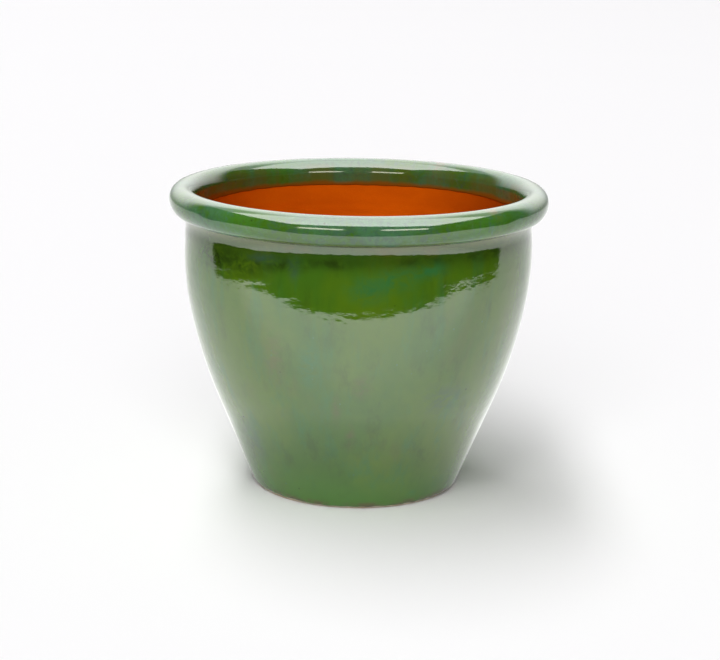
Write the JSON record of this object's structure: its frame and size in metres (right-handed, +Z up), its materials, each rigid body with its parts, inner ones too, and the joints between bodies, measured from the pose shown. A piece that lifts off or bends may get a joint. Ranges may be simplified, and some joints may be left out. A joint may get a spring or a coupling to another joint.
{
  "type": "glazed terracotta plant pot",
  "caption": "Round plant pot with a thick rolled rim, a tapered belly, a glazed outside, a bare clay inside and a drain hole in the floor.",
  "frame": {"origin": "on the ground at the centre of the foot", "axes": "+Z up along the axis of the pot, which is round, so X and Y are any two level directions"},
  "size_m": [0.3, 0.3, 0.2425],
  "materials": {
    "terracotta": "matte bare fired clay",
    "green_glaze": "glossy mottled green glaze"
  },
  "bodies": {
    "root": {"foot_ring": "terracotta", "floor_slab": "terracotta", "floor_seam_coil": "terracotta", "wall_shell": "terracotta", "neck_coil": "terracotta", "rim_roll": "terracotta", "outer_glaze": "green_glaze", "rim_glaze": "green_glaze"}
  },
  "joints": []
}
